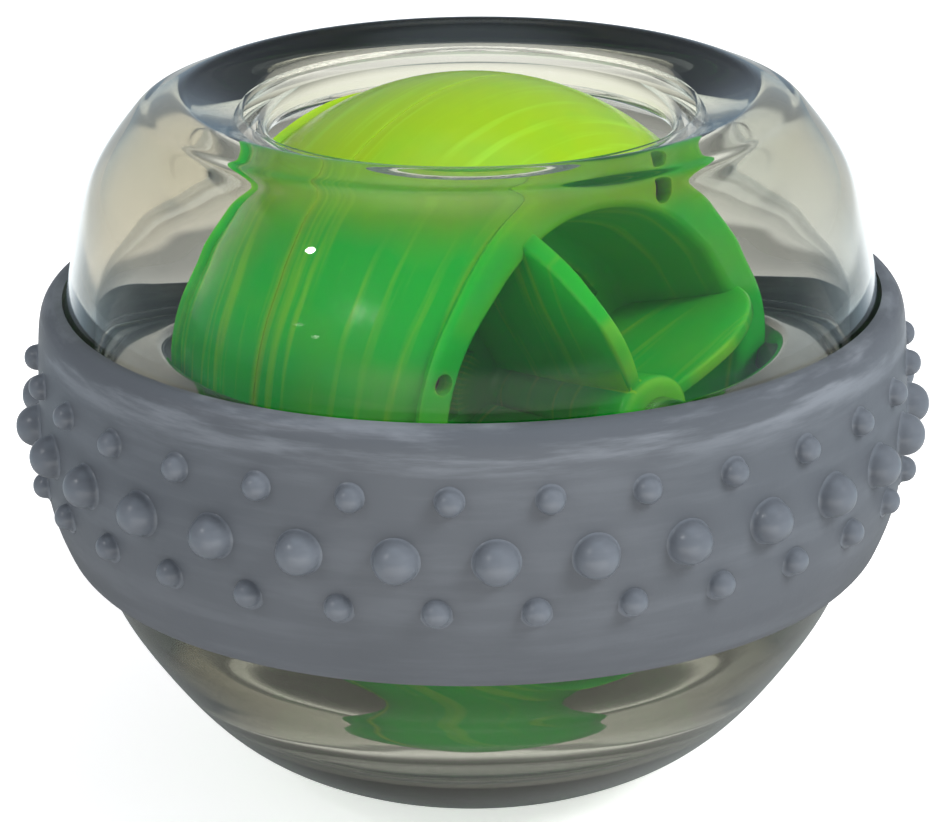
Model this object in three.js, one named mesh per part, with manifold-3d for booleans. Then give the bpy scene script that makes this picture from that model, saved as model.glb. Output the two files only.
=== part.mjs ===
// Gyroscopic wrist ball: a clear casing in two halves, a rubber grip band with nubs,
// and a rotor whose axle tips run in a race between the halves. Millimetres, +Z up.
// The origin is the centre of the foot that the ball stands on.
import * as THREE from "three";
import { mergeVertices } from "three/addons/utils/BufferGeometryUtils.js";
import Module from "manifold-3d";

const wasm = await Module();
wasm.setup();

const FULL_TURN = 2 * Math.PI;
const QUARTER_TURN = Math.PI / 2;
const degrees = THREE.MathUtils.degToRad;

// How finely round things are cut.
const ROUND_STEPS = 48;
const SMALL_ROUND_STEPS = 12;
const CURVE_STEPS = 9;
const ARC_STEPS = 5;
const OVERRUN = 1;

// Running and fitting clearances.
const ROTOR_CLEARANCE = 1.4;
const SEAT_CLEARANCE = 0.3;
const TIP_CLEARANCE = 0.25;
const PIN_CLEARANCE = 0.15;
const BAND_CLEARANCE = 0.3;

// Rotor, a ball whose sides are cut flat where the axle leaves it.
const ROTOR_RADIUS = 24.5;
const RIM_HEIGHT = 14.05;
const RIM_WIDTH = 2.17;
const COVER_WALL = 2;
const RECESS_TAPER = 3.4;
const RECESS_FLOOR_HEIGHT = 5.6;
const AXLE_AZIMUTH = degrees(45);

const RIM_RADIUS = Math.sqrt(ROTOR_RADIUS ** 2 - RIM_HEIGHT ** 2);
const RECESS_RADIUS = RIM_RADIUS - RIM_WIDTH;
const RECESS_FLOOR_RADIUS = RECESS_RADIUS - RECESS_TAPER;

// Axle and its thin tips.
const AXLE_RADIUS = 1.5;
const TIP_RADIUS = 0.9;
const TIP_LENGTH = 3.7;
const TIP_CHAMFER = 0.2;

// Race in the casing and the ring that runs in it.
const RACE_DEPTH = 3.4;
const SHELF_THICKNESS = 1.85;
const RING_THICKNESS = 1.5;
const RING_RIM = 1.1;
const NOTCH_END_CLEARANCE = 0.2;

const SHELF_RADIUS = ROTOR_RADIUS + ROTOR_CLEARANCE;
const RACE_RADIUS = SHELF_RADIUS + RACE_DEPTH;
const RACE_HALF_HEIGHT = TIP_RADIUS + TIP_CLEARANCE;
const SHELF_HEIGHT = RACE_HALF_HEIGHT + SHELF_THICKNESS;
const RING_INNER_RADIUS = ROTOR_RADIUS + ROTOR_CLEARANCE / 2;
const RING_OUTER_RADIUS = RACE_RADIUS - SEAT_CLEARANCE;
const NOTCH_REACH = RING_OUTER_RADIUS - RING_RIM;
const AXLE_HALF_LENGTH = NOTCH_REACH - NOTCH_END_CLEARANCE;

// Casing, built round the race and the rotor.
const RACE_BACKING = 5.1;
const WALL = 3;
const CROWN_PROUD = 0.55;
const UNDER_ROTOR = 5.9;
const FLOOR_THICKNESS = 5;
const FOOT_RADIUS = 11.2;

const SHELL_RADIUS = RACE_RADIUS + RACE_BACKING;
const SHELL_RISE = ROTOR_RADIUS - CROWN_PROUD;
const SHELL_DROP = ROTOR_RADIUS + UNDER_ROTOR + FLOOR_THICKNESS;
const PARTING_HEIGHT = SHELL_DROP;

// Shares of the shell's radius and of the upper half's rise, from the parting plane to the crest.
const UPPER_OUTLINE_SHARES = [
  [1, 0],
  [0.996, 0.164],
  [0.964, 0.447],
  [0.91, 0.714],
  [0.811, 0.92],
  [0.759, 0.968],
];
const CREST_SHARE = 0.7;
// Shares of the shell's radius and of the lower half's drop, from the parting plane to the foot.
const LOWER_OUTLINE_SHARES = [
  [1, 0],
  [0.994, 0.24],
  [0.942, 0.42],
  [0.866, 0.588],
  [0.703, 0.802],
  [0.541, 0.921],
];

// The dome inside the upper half, from its shelf to the mouth: its wall thickens towards the mouth.
// Shares of the way out from the mouth and of the way up from the shelf.
const DOME_SHARES = [
  [1, 0],
  [0.978, 0.152],
  [0.92, 0.345],
  [0.797, 0.55],
  [0.616, 0.713],
  [0.399, 0.842],
  [0.196, 0.936],
];
// The corner of the straight cup inside the lower half: shares of its radius and of its depth.
const CUP_CORNER_SHARES = [
  [1, 0.6],
  [0.96, 0.4],
  [0.95, 0.33],
  [0.94, 0.26],
  [0.92, 0.19],
  [0.88, 0.13],
  [0.8, 0.07],
  [0.68, 0.025],
  [0.5, 0],
];

// Mouth of the upper shell: the crest dips inwards as a funnel to a lip with a thin ledge below it.
const MOUTH_RADIUS = 17.5;
const MOUTH_EDGE = 0.7;
const LEDGE_WIDTH = 1.5;
const LEDGE_DROP = 0.55;
const LIP_WIDTH = 0.3;
const LIP_DROP = 0.45;
const FUNNEL_DROP = 2.15;
// Shares of the funnel's width and drop, from the crest to the lip.
const FUNNEL_SHARES = [
  [0.25, 0.163],
  [0.583, 0.512],
  [1, 1],
];

const CREST_RADIUS = CREST_SHARE * SHELL_RADIUS;
const THROAT_RADIUS = MOUTH_RADIUS + LEDGE_WIDTH;
const LIP_RADIUS = THROAT_RADIUS + LIP_WIDTH;

// Spigot that centres the upper shell on the lower one, in the middle of the race's backing.
const SPIGOT_WIDTH = 1.2;
const SPIGOT_HEIGHT = 1;
const SPIGOT_RADIUS = RACE_RADIUS + (RACE_BACKING - SPIGOT_WIDTH) / 2;

// Hub, fins and windows of each rotor cover.
const HUB_WALL = 1.6;
const HUB_PROUD = 5.95;
const FIN_COUNT = 4;
const FIN_THICKNESS = 1.5;
const FIN_BULGE = 3.4;
const FIN_AZIMUTH = degrees(118);
const WINDOW_INSET = 1.5;
const WINDOW_DEPTH = 6;
const WINDOW_HALF_ANGLE = degrees(28);

const BORE_RADIUS = AXLE_RADIUS + SEAT_CLEARANCE;
const HUB_RADIUS = BORE_RADIUS + HUB_WALL;
const HUB_HEIGHT = RIM_HEIGHT + HUB_PROUD;
const WINDOW_OUTER_RADIUS = RECESS_FLOOR_RADIUS - WINDOW_INSET;
const WINDOW_INNER_RADIUS = WINDOW_OUTER_RADIUS - WINDOW_DEPTH;

// Pins through the middle of the rotor's rims.
const PIN_COUNT = 4;
const PIN_RADIUS = 0.8;
const PIN_SINK = 1.5;
const PIN_AZIMUTH = degrees(160);
const PIN_CIRCLE_RADIUS = RIM_RADIUS - RIM_WIDTH / 2;

// Flywheel inside the rotor.
const FLYWHEEL_END_ROOM = 2.55;

// Grip band.
const BAND_RISE = 7;
const BAND_FALL = 14.5;
const BAND_THICKNESS = 1.8;
const BAND_LIP = 0.65;
const BAND_FOOT = 1.3;
// Shares of the band's height from its bottom, and of its swell from foot or lip to full radius.
const BAND_BELOW_SHARES = [
  [0, 0],
  [0.04, 0.24],
  [0.175, 0.68],
  [0.34, 0.93],
];
const BAND_ABOVE_SHARES = [
  [0.725, 0.93],
  [0.91, 0.78],
  [0.975, 0.5],
  [1, 0],
];
const BAND_WIDEST_SHARE = 0.52;

// Nubs: a row of big domes between two rows of small ones. Drops are below the parting plane.
const NUB_COUNT = 30;
const BIG_NUB_RADIUS = 1.75;
const BIG_NUB_RISE = 1.95;
const SMALL_NUB_RADIUS = 1.08;
const SMALL_NUB_RISE = 1.2;
const NUB_SINK = 0.5;
const BIG_ROW_DROP = 3.3;
const TOP_ROW_SPACING = 4.8;
const LOW_ROW_SPACING = 4.2;
const BIG_ROW_AZIMUTH = degrees(2.6);
const TOP_ROW_AZIMUTH = degrees(9.1);
const LOW_ROW_AZIMUTH = degrees(7.4);
const NUB_RINGS = 3;
const BIG_NUB_STEPS = 8;
const SMALL_NUB_STEPS = 6;

const POINTS = (list) => list.map(([x, y]) => new THREE.Vector2(x, y));

// A closed solid turned about Z from a profile of radius and height.
function turned(profile, steps = ROUND_STEPS) {
  return new THREE.LatheGeometry(profile, steps).rotateX(QUARTER_TURN);
}

// The same profile as a ring that closes on itself.
function closed(profile) {
  return [...profile, profile[0].clone()];
}

function toSolid(geometry) {
  const plain = new THREE.BufferGeometry();
  plain.setAttribute("position", geometry.getAttribute("position"));
  plain.setIndex(geometry.getIndex());
  const merged = mergeVertices(plain);
  const count = merged.getAttribute("position").count;
  const triVerts = merged.getIndex()
    ? new Uint32Array(merged.getIndex().array)
    : Uint32Array.from({ length: count }, (_, i) => i);
  return new wasm.Manifold(
    new wasm.Mesh({
      numProp: 3,
      vertProperties: new Float32Array(merged.getAttribute("position").array),
      triVerts,
    }),
  );
}

function toGeometry(solid) {
  const mesh = solid.getMesh();
  const geometry = new THREE.BufferGeometry();
  geometry.setAttribute("position", new THREE.BufferAttribute(mesh.vertProperties, 3));
  geometry.setIndex(new THREE.BufferAttribute(mesh.triVerts, 1));
  const flat = geometry.toNonIndexed();
  flat.computeVertexNormals();
  return flat;
}

// A flat shape in radius and height, given a thickness and stood up across the X axis.
function slab(shape, thickness) {
  const options = { depth: thickness, bevelEnabled: false, curveSegments: ARC_STEPS };
  const geometry = new THREE.ExtrudeGeometry(shape, options);
  return geometry.translate(0, 0, -thickness / 2).rotateX(QUARTER_TURN);
}

// The outline of one half of the casing as a smooth curve, from the parting plane to its end.
function shellCurve(shares, reach, end) {
  const places = shares.map(([across, along]) => [
    across * SHELL_RADIUS,
    PARTING_HEIGHT + along * reach,
  ]);
  return new THREE.SplineCurve(POINTS([...places, end]));
}

const upperCurve = shellCurve(UPPER_OUTLINE_SHARES, SHELL_RISE, [
  CREST_RADIUS,
  PARTING_HEIGHT + SHELL_RISE,
]);
const lowerCurve = shellCurve(LOWER_OUTLINE_SHARES, -SHELL_DROP, [FOOT_RADIUS, 0]);

// The radius of the casing's outside at a height.
function shellRadiusAt(height) {
  const curve = height > PARTING_HEIGHT ? upperCurve : lowerCurve;
  const points = curve.getPoints(ROUND_STEPS);
  for (let i = 1; i < points.length; i++) {
    const [a, b] = [points[i - 1], points[i]];
    if ((a.y - height) * (b.y - height) <= 0 && a.y !== b.y) {
      return THREE.MathUtils.mapLinear(height, a.y, b.y, a.x, b.x);
    }
  }
  return SHELL_RADIUS;
}

// The race's half of one shell, from its outer wall to its inner edge. way is 1 or -1.
function racePoints(way) {
  return POINTS([
    [RACE_RADIUS, PARTING_HEIGHT],
    [RACE_RADIUS, PARTING_HEIGHT + way * RACE_HALF_HEIGHT],
    [SHELF_RADIUS, PARTING_HEIGHT + way * RACE_HALF_HEIGHT],
  ]);
}

// The funnel from the crest to the lip, then the throat, the ledge and the edge of the mouth.
function mouthPoints() {
  const top = PARTING_HEIGHT + SHELL_RISE;
  const funnel = FUNNEL_SHARES.map(([inward, down]) => [
    THREE.MathUtils.lerp(CREST_RADIUS, LIP_RADIUS, inward),
    top - down * FUNNEL_DROP,
  ]);
  const throat = top - FUNNEL_DROP - LIP_DROP;
  const ledge = throat - LEDGE_DROP;
  return POINTS([
    ...funnel,
    [THROAT_RADIUS, throat],
    [MOUTH_RADIUS, ledge],
    [MOUTH_RADIUS, ledge - MOUTH_EDGE],
  ]);
}

function upperShell() {
  const shelfTop = PARTING_HEIGHT + SHELF_HEIGHT;
  const mouth = mouthPoints();
  const side = shellRadiusAt(shelfTop) - WALL;
  const dome = DOME_SHARES.map(([out, up]) => [
    THREE.MathUtils.lerp(MOUTH_RADIUS, side, out),
    THREE.MathUtils.lerp(shelfTop, mouth.at(-1).y, up),
  ]);
  const socketInner = SPIGOT_RADIUS - SEAT_CLEARANCE;
  const socketOuter = SPIGOT_RADIUS + SPIGOT_WIDTH + SEAT_CLEARANCE;
  const socketTop = PARTING_HEIGHT + SPIGOT_HEIGHT + SEAT_CLEARANCE;
  const socket = POINTS([
    [socketInner, PARTING_HEIGHT],
    [socketInner, socketTop],
    [socketOuter, socketTop],
    [socketOuter, PARTING_HEIGHT],
  ]);
  return turned(
    closed([
      ...upperCurve.getPoints(CURVE_STEPS),
      ...mouth,
      ...POINTS(dome.reverse()),
      new THREE.Vector2(SHELF_RADIUS, shelfTop),
      ...racePoints(1).reverse(),
      ...socket,
    ]),
  );
}

function lowerShell() {
  const depth = PARTING_HEIGHT - FLOOR_THICKNESS;
  const corner = CUP_CORNER_SHARES.map(([across, up]) => [
    across * SHELF_RADIUS,
    FLOOR_THICKNESS + up * depth,
  ]);
  const spigot = POINTS([
    [SPIGOT_RADIUS + SPIGOT_WIDTH, PARTING_HEIGHT],
    [SPIGOT_RADIUS + SPIGOT_WIDTH, PARTING_HEIGHT + SPIGOT_HEIGHT],
    [SPIGOT_RADIUS, PARTING_HEIGHT + SPIGOT_HEIGHT],
    [SPIGOT_RADIUS, PARTING_HEIGHT],
  ]);
  return turned([
    new THREE.Vector2(0, 0),
    ...lowerCurve.getPoints(CURVE_STEPS).reverse(),
    ...spigot,
    ...racePoints(-1),
    ...POINTS(corner),
    new THREE.Vector2(0, FLOOR_THICKNESS),
  ]);
}

// One nub: a dome about Z with its base at zero and its foot sunk in the band.
function nub({ radius, rise, steps }) {
  const points = [new THREE.Vector2(0, -NUB_SINK), new THREE.Vector2(radius, -NUB_SINK)];
  for (let i = 1; i < NUB_RINGS; i++) {
    const turn = (QUARTER_TURN * i) / NUB_RINGS;
    points.push(new THREE.Vector2(radius * Math.cos(turn), rise * Math.sin(turn)));
  }
  points.push(new THREE.Vector2(0, rise));
  return turned(points, steps);
}

const bandTop = PARTING_HEIGHT + BAND_RISE;
const bandBottom = PARTING_HEIGHT - BAND_FALL;
const bandHeight = BAND_RISE + BAND_FALL;
const bandRadius = SHELL_RADIUS + BAND_CLEARANCE + BAND_THICKNESS;

// The outside of the band from its bottom edge to its top edge.
function bandOutline() {
  const side = (shares, edgeHeight, thickness) => {
    const edgeRadius = shellRadiusAt(edgeHeight) + BAND_CLEARANCE + thickness;
    return shares.map(([up, swell]) => [
      THREE.MathUtils.lerp(edgeRadius, bandRadius, swell),
      bandBottom + up * bandHeight,
    ]);
  };
  return POINTS([
    ...side(BAND_BELOW_SHARES, bandBottom, BAND_FOOT),
    [bandRadius, bandBottom + BAND_WIDEST_SHARE * bandHeight],
    ...side(BAND_ABOVE_SHARES, bandTop, BAND_LIP),
  ]);
}

function bandRadiusAt(outline, height) {
  const above = outline.findIndex((p) => p.y >= height);
  const [a, b] = [outline[above - 1], outline[above]];
  return THREE.MathUtils.mapLinear(height, a.y, b.y, a.x, b.x);
}

function gripBand() {
  const bigRowHeight = PARTING_HEIGHT - BIG_ROW_DROP;
  const big = { radius: BIG_NUB_RADIUS, rise: BIG_NUB_RISE, steps: BIG_NUB_STEPS };
  const small = { radius: SMALL_NUB_RADIUS, rise: SMALL_NUB_RISE, steps: SMALL_NUB_STEPS };
  const rows = [
    { shape: big, height: bigRowHeight, start: BIG_ROW_AZIMUTH },
    { shape: small, height: bigRowHeight + TOP_ROW_SPACING, start: TOP_ROW_AZIMUTH },
    { shape: small, height: bigRowHeight - LOW_ROW_SPACING, start: LOW_ROW_AZIMUTH },
  ];
  const outline = bandOutline();
  const bore = [];
  for (let i = 0; i <= ARC_STEPS; i++) {
    const height = bandTop - (bandHeight * i) / ARC_STEPS;
    bore.push(new THREE.Vector2(shellRadiusAt(height) + BAND_CLEARANCE, height));
  }
  let solid = toSolid(turned(closed([...outline, ...bore])));
  for (const { shape, height, start } of rows) {
    const reach = bandRadiusAt(outline, height);
    for (let i = 0; i < NUB_COUNT; i++) {
      const dome = nub(shape)
        .rotateX(QUARTER_TURN)
        .translate(0, -reach, height)
        .rotateZ(start + (FULL_TURN * i) / NUB_COUNT);
      solid = solid.add(toSolid(dome));
    }
  }
  return toGeometry(solid);
}

// The ring in the race, with a notch for each tip of the axle.
function retainingRing() {
  const half = RING_THICKNESS / 2;
  const profile = POINTS([
    [RING_INNER_RADIUS, -half],
    [RING_OUTER_RADIUS, -half],
    [RING_OUTER_RADIUS, half],
    [RING_INNER_RADIUS, half],
  ]);
  const notchWidth = 2 * (TIP_RADIUS + TIP_CLEARANCE);
  const notch = new THREE.BoxGeometry(2 * NOTCH_REACH, notchWidth, RING_THICKNESS + OVERRUN);
  return toGeometry(toSolid(turned(closed(profile))).subtract(toSolid(notch)));
}

// Everything below is drawn about the axle, with Z along it and zero at the rotor's middle.
const COVER_INNER_RADIUS = ROTOR_RADIUS - COVER_WALL;
const HALF_GAP = SEAT_CLEARANCE / 2;
const FLOOR_UNDERSIDE = RECESS_FLOOR_HEIGHT - COVER_WALL;

// Part of a ball's outline between two heights.
function ballArc(radius, from, to) {
  const points = [];
  for (let i = 0; i <= ARC_STEPS; i++) {
    const angle = THREE.MathUtils.lerp(
      Math.asin(from / radius),
      Math.asin(to / radius),
      i / ARC_STEPS,
    );
    points.push(new THREE.Vector2(radius * Math.cos(angle), radius * Math.sin(angle)));
  }
  return points;
}

function coverBody() {
  const plate = RIM_HEIGHT - COVER_WALL;
  const profile = [
    ...ballArc(ROTOR_RADIUS, HALF_GAP, RIM_HEIGHT),
    ...POINTS([
      [RECESS_RADIUS, RIM_HEIGHT],
      [RECESS_FLOOR_RADIUS, RECESS_FLOOR_HEIGHT],
      [HUB_RADIUS, RECESS_FLOOR_HEIGHT],
      [HUB_RADIUS, HUB_HEIGHT],
      [BORE_RADIUS, HUB_HEIGHT],
      [BORE_RADIUS, FLOOR_UNDERSIDE],
      [RECESS_FLOOR_RADIUS + COVER_WALL / 2, FLOOR_UNDERSIDE],
    ]),
    ...ballArc(COVER_INNER_RADIUS, HALF_GAP, plate).reverse(),
  ];
  return toSolid(turned(closed(profile)));
}

// One fin: a radial web whose free edge bows from the hub's end to the recess's rim.
function fin() {
  const [hub, hubTop] = [HUB_RADIUS - HALF_GAP, HUB_HEIGHT - HALF_GAP];
  const [rim, rimTop] = [RECESS_RADIUS + COVER_WALL / 2, RIM_HEIGHT - HALF_GAP];
  const root = RECESS_FLOOR_HEIGHT - COVER_WALL / 2;
  const middle = new THREE.Vector2(hub + rim, hubTop + rimTop).divideScalar(2);
  const pull = middle.clone().setLength(middle.length() + 2 * FIN_BULGE);
  const shape = new THREE.Shape();
  shape.moveTo(hub, root);
  shape.lineTo(RECESS_FLOOR_RADIUS, root);
  shape.lineTo(rim, rimTop);
  shape.quadraticCurveTo(pull.x, pull.y, hub, hubTop);
  shape.closePath();
  return slab(shape, FIN_THICKNESS);
}

// One window in the recess's floor, through which the flywheel shows.
function windowCutter() {
  const shape = new THREE.Shape();
  shape.absarc(0, 0, WINDOW_OUTER_RADIUS, -WINDOW_HALF_ANGLE, WINDOW_HALF_ANGLE, false);
  shape.absarc(0, 0, WINDOW_INNER_RADIUS, WINDOW_HALF_ANGLE, -WINDOW_HALF_ANGLE, true);
  shape.closePath();
  const options = { depth: COVER_WALL + 2 * OVERRUN, bevelEnabled: false, curveSegments: ARC_STEPS };
  return new THREE.ExtrudeGeometry(shape, options).translate(0, 0, FLOOR_UNDERSIDE - OVERRUN);
}

function upright(radius, from, to) {
  return new THREE.CylinderGeometry(radius, radius, to - from, SMALL_ROUND_STEPS)
    .rotateX(QUARTER_TURN)
    .translate(0, 0, (from + to) / 2);
}

function rotorCover() {
  let solid = coverBody();
  for (let i = 0; i < FIN_COUNT; i++) {
    const azimuth = FIN_AZIMUTH + (FULL_TURN * i) / FIN_COUNT;
    solid = solid.add(toSolid(fin().rotateZ(azimuth)));
    const between = azimuth + FULL_TURN / FIN_COUNT / 2;
    solid = solid.subtract(toSolid(windowCutter().rotateZ(between)));
  }
  for (let i = 0; i < PIN_COUNT; i++) {
    const azimuth = PIN_AZIMUTH + (FULL_TURN * i) / PIN_COUNT;
    const hole = upright(PIN_RADIUS + PIN_CLEARANCE, 0, RIM_HEIGHT + OVERRUN);
    solid = solid.subtract(toSolid(hole.translate(PIN_CIRCLE_RADIUS, 0, 0).rotateZ(azimuth)));
  }
  return toGeometry(solid);
}

function flywheel() {
  const halfWidth = RIM_HEIGHT - COVER_WALL - FLYWHEEL_END_ROOM;
  const rim = COVER_INNER_RADIUS - SEAT_CLEARANCE;
  const web = FLOOR_UNDERSIDE - SEAT_CLEARANCE;
  const slope = (RECESS_RADIUS - RECESS_FLOOR_RADIUS) / (RIM_HEIGHT - RECESS_FLOOR_HEIGHT);
  const inner = RECESS_FLOOR_RADIUS + COVER_WALL + SEAT_CLEARANCE;
  const innerTop = inner + slope * (halfWidth - RECESS_FLOOR_HEIGHT);
  const half = [
    ...ballArc(rim, 0, halfWidth),
    ...POINTS([
      [innerTop, halfWidth],
      [inner, web],
      [BORE_RADIUS, web],
    ]),
  ];
  const mirrored = half
    .slice(1)
    .map((p) => new THREE.Vector2(p.x, -p.y))
    .reverse();
  let solid = toSolid(turned(closed([...mirrored, ...half])));
  for (let i = 0; i < PIN_COUNT; i++) {
    const azimuth = PIN_AZIMUTH + (FULL_TURN * i) / PIN_COUNT;
    const reach = halfWidth + OVERRUN;
    const hole = upright(PIN_RADIUS + PIN_CLEARANCE, -reach, reach);
    solid = solid.subtract(toSolid(hole.translate(PIN_CIRCLE_RADIUS, 0, 0).rotateZ(azimuth)));
  }
  return toGeometry(solid);
}

function axle() {
  const shoulder = AXLE_HALF_LENGTH - TIP_LENGTH;
  const half = [
    [AXLE_RADIUS, shoulder],
    [TIP_RADIUS, shoulder],
    [TIP_RADIUS, AXLE_HALF_LENGTH - TIP_CHAMFER],
    [TIP_RADIUS - TIP_CHAMFER, AXLE_HALF_LENGTH],
    [0, AXLE_HALF_LENGTH],
  ];
  const mirrored = half.map(([x, y]) => [x, -y]).reverse();
  return turned(POINTS([...mirrored, ...half]), SMALL_ROUND_STEPS);
}

function pin() {
  return upright(PIN_RADIUS, PIN_SINK - RIM_HEIGHT, RIM_HEIGHT - PIN_SINK);
}

// Materials.
function material(color, roughness, metalness = 0) {
  return new THREE.MeshStandardMaterial({ color, roughness, metalness });
}

const clearPlastic = material(0x9aa6ae, 0.05);
clearPlastic.transparent = true;
clearPlastic.opacity = 0.35;
const rubber = material(0x62676d, 0.6);
const greenPlastic = material(0x3fae2a, 0.25);
const zinc = material(0xa9adb0, 0.3, 1);
const steel = material(0xc4c7c9, 0.25, 1);
const smokyPlastic = material(0x4d5256, 0.35);

function mesh(name, geometry, look) {
  const made = new THREE.Mesh(geometry, look);
  made.name = name;
  return made;
}

const group = new THREE.Group();
group.add(mesh("upper_shell", upperShell(), clearPlastic));
group.add(mesh("lower_shell", lowerShell(), clearPlastic));
group.add(mesh("grip_band", gripBand(), rubber));

const ring = mesh("retaining_ring", retainingRing(), smokyPlastic);
ring.position.z = PARTING_HEIGHT;
ring.rotation.z = AXLE_AZIMUTH - QUARTER_TURN;
group.add(ring);

const rotor = new THREE.Group();
rotor.position.z = PARTING_HEIGHT;
rotor.rotation.set(QUARTER_TURN, 0, AXLE_AZIMUTH, "ZYX");
group.add(rotor);

rotor.add(mesh("rotor_cover_front", rotorCover(), greenPlastic));
// The back cover is the same moulding turned over and round until its pin holes line up.
const back = mesh("rotor_cover_back", rotorCover(), greenPlastic);
back.rotation.set(Math.PI, 0, 2 * PIN_AZIMUTH, "ZYX");
rotor.add(back);
rotor.add(mesh("flywheel", flywheel(), zinc));
rotor.add(mesh("axle", axle(), steel));
for (let i = 0; i < PIN_COUNT; i++) {
  const azimuth = PIN_AZIMUTH + (FULL_TURN * i) / PIN_COUNT;
  const one = mesh(`rotor_pin_${i + 1}`, pin(), steel);
  one.position.set(PIN_CIRCLE_RADIUS * Math.cos(azimuth), PIN_CIRCLE_RADIUS * Math.sin(azimuth), 0);
  rotor.add(one);
}

export default group;
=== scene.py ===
# Gyroscopic wrist ball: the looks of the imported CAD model.
# Sizes are written in millimetres and turned into metres as meshes are made.
# The frame is the CAD's: +Z up through the mouth, -Y towards the viewer, the foot at zero.
import math

import bmesh
import bpy
from mathutils import Matrix, Vector


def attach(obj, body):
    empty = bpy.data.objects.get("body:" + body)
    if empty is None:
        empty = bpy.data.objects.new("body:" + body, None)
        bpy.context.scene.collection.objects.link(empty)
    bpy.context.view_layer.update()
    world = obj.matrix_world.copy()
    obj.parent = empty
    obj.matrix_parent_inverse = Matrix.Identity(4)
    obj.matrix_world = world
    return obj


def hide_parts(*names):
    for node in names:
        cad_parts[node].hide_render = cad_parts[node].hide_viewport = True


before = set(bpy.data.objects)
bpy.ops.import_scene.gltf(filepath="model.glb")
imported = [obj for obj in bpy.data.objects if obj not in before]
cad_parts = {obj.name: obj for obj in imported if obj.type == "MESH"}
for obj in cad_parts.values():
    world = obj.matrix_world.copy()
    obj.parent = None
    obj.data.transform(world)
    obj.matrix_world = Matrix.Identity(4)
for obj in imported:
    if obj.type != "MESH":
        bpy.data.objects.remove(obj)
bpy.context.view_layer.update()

MM = 0.001
FULL_TURN = 2 * math.pi
QUARTER_TURN = math.pi / 2

# How finely round things are cut.
SHELL_STEPS = 192
ROTOR_STEPS = 144
SMALL_STEPS = 48
PIN_STEPS = 24
HOLE_STEPS = 32
CURVE_STEPS = 10
BAND_CURVE_STEPS = 6
BAND_BORE_STEPS = 24
COVER_STEPS = 24
COVER_INNER_STEPS = 16
FLYWHEEL_STEPS = 12
FIN_STEPS = 16
WINDOW_STEPS = 12
NUB_STEPS = 32
NUB_FLARE_STEPS = 5
NUB_DOME_STEPS = 12
FILLET_STEPS = 5
SHARP_ANGLE = math.radians(35)

# An edge between faces that turn by more than this, in radians, is a corner to soften.
SQUARE_ENOUGH = 1

# A point nearer to the axis than this, in millimetres, is a pole.
ON_AXIS = 1e-6

# Points of a mesh nearer to each other than this, in metres, are one point.
DOUBLE = 1e-7
CUT_DOUBLE = 2e-6

# An edge shorter than this, in metres, is dropped after a cut.
CUT_SLIVER = 1e-6

# So many points at each end of the upper wall's inside make room for its rounded corners.
INSIDE_TRIM = 2

# The sizes of the CAD model that the looks follow.
PARTING_HEIGHT = 35.4
PARTING_GAP = 0.04
SHELL_RADIUS = 34.4
SHELL_RISE = 23.95
WALL = 3
SHELF_RADIUS = 25.9
SHELF_HEIGHT = 3
RACE_RADIUS = 29.3
RACE_HALF_HEIGHT = 1.15
SPIGOT_RADIUS = 31.25
SPIGOT_WIDTH = 1.2
SPIGOT_HEIGHT = 1
SEAT_CLEARANCE = 0.3
FOOT_RADIUS = 11.2
CUP_FLOOR = 5
MOUTH_RADIUS = 17.5
MOUTH_EDGE = 0.7
LEDGE_DROP = 0.55
LIP_DROP = 0.45
FUNNEL_DROP = 2.15
THROAT_RADIUS = 19
LIP_RADIUS = 19.3
CREST_RADIUS = 24.08
LIP_FILLET = 0.2
THROAT_FILLET = 0.15
LEDGE_FILLET = 0.25
MOUTH_FILLET = 0.2
WALL_FOOT_FILLET = 0.4
SHELF_FILLET = 0.3
RACE_FILLET = 0.15
ROTOR_RADIUS = 24.5
RIM_HEIGHT = 14.05
RIM_WIDTH = 2.17
RIM_ROUND = 0.35
RIM_TRIM = 0.05
RIM_FILLET = 0.3
COVER_WALL = 2
RECESS_TAPER = 3.4
RECESS_FILLET = 0.35
FLOOR_HEIGHT = 5.6
FLOOR_FILLET = 0.8
BACK_FILLET = 0.4
AXLE_TURN = math.radians(45)
AXLE_RADIUS = 1.5
TIP_RADIUS = 0.9
TIP_LENGTH = 3.7
TIP_FILLET = 0.3
AXLE_HALF_LENGTH = 27.7
AXLE_FILLET = 0.15
HUB_RADIUS = 3.4
HUB_FOOT_FILLET = 0.6
HUB_FILLET = 0.3
BORE_RADIUS = 1.8
BORE_FILLET = 0.2
HUB_TOP = 20
FIN_COUNT = 4
FIN_THICKNESS = 1.5
FIN_BULGE = 3.4
FIN_SINK = 0.15
FIN_SOFTENING = 0.3
FIN_AZIMUTH = math.radians(118)
WINDOW_INNER_RADIUS = 7
WINDOW_OUTER_RADIUS = 13
WINDOW_HALF_ANGLE = math.radians(28)
CUT_OVERRUN = 1
PIN_COUNT = 4
PIN_RADIUS = 0.8
PIN_CLEARANCE = 0.15
PIN_SINK = 1.5
PIN_FILLET = 0.2
PIN_HOLE_FLOOR = 1
PIN_AZIMUTH = math.radians(160)
FLYWHEEL_RADIUS = 22.2
FLYWHEEL_HALF_WIDTH = 9.5
FLYWHEEL_WEB = 3.3
FLYWHEEL_INNER_RADIUS = 16.8
FLYWHEEL_EDGE_FILLET = 0.3
FLYWHEEL_FOOT_FILLET = 0.8
RING_INNER_RADIUS = 25.2
RING_OUTER_RADIUS = 29
RING_THICKNESS = 1.5
RING_FILLET = 0.15
NOTCH_DEPTH = 1.1
NOTCH_CLEARANCE = 0.25
NOTCH_HALF_HEIGHT = 2
BAND_TOP = 42.4
BAND_BOTTOM = 20.9
BAND_RADIUS = 36.5
BAND_CLEARANCE = 0.3
BAND_LIP = 0.65
BAND_FOOT = 1.3
NUB_COUNT = 30
BIG_ROW_HEIGHT = 32.1
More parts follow.
